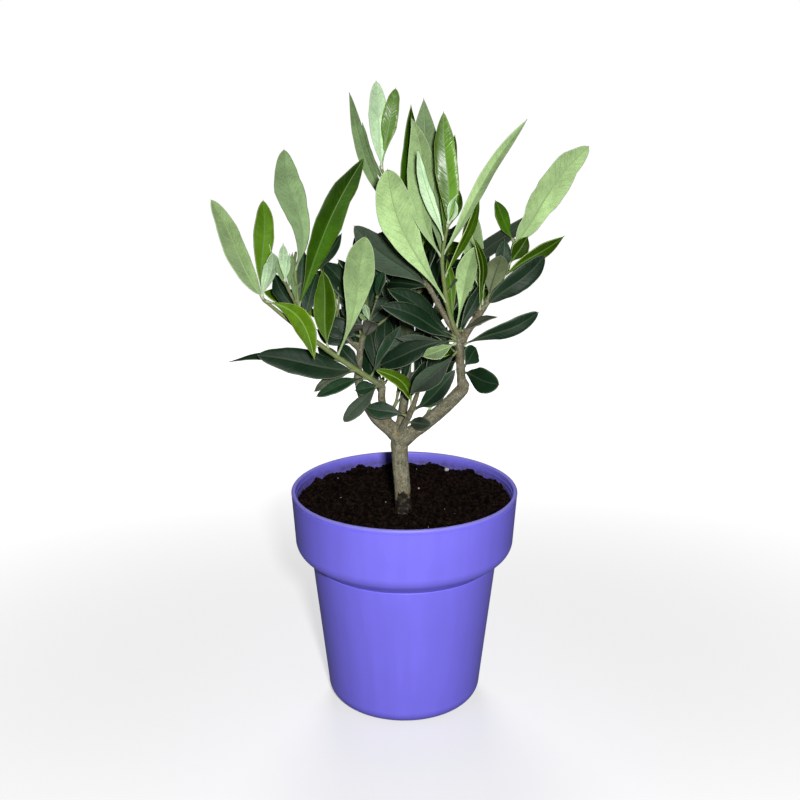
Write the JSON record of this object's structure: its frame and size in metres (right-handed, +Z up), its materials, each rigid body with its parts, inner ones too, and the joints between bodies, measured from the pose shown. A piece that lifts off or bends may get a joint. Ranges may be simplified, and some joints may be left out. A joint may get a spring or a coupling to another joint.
{
  "type": "potted olive tree",
  "caption": "Young olive tree with a short forked trunk and upright leafy shoots, growing in a round plastic flower pot with a deep rim.",
  "frame": {"origin": "centre of the pot's flat underside, where it stands", "axes": "+Z up the tree, -Y towards the front, +X to the right seen from the front"},
  "size_m": [0.1867, 0.1336, 0.3297],
  "materials": {
    "pot": "satin moulded plastic, violet blue",
    "soil": "moist peat potting soil",
    "bark": "smooth grey young bark",
    "green_shoot": "green young shoot",
    "leaf": "leathery leaves, dark above and grey green below"
  },
  "bodies": {
    "root": {"pot": "pot", "soil": "soil", "trunk": "bark", "left_bough": "bark", "left_upper_bough": "bark", "left_back_shoot": "bark", "middle_bough": "bark", "left_shoot": "green_shoot", "left_side_shoot": "green_shoot", "centre_twig": "bark", "right_bough": "bark", "right_upright": "bark", "front_shoot": "green_shoot", "top_shoot": "bark", "right_back_bough": "bark", "back_bough": "bark", "back_left_shoot": "bark", "back_middle_shoot": "bark", "back_top_shoot": "bark", "back_right_shoot": "bark", "left_tip_leaves": "leaf", "left_upper_leaves": "leaf", "left_middle_leaves": "leaf", "left_low_leaves": "leaf", "centre_low_leaves": "leaf", "inner_leaves": "leaf", "front_low_leaves": "leaf", "right_low_leaves": "leaf", "front_leaves": "leaf", "front_top_leaves": "leaf", "top_side_leaves": "leaf", "top_leaves": "leaf", "right_leaves": "leaf", "right_tip_leaves": "leaf", "left_back_leaves": "leaf", "back_left_leaves": "leaf", "back_middle_leaves": "leaf", "back_top_leaves": "leaf", "back_right_leaves": "leaf"}
  },
  "joints": []
}
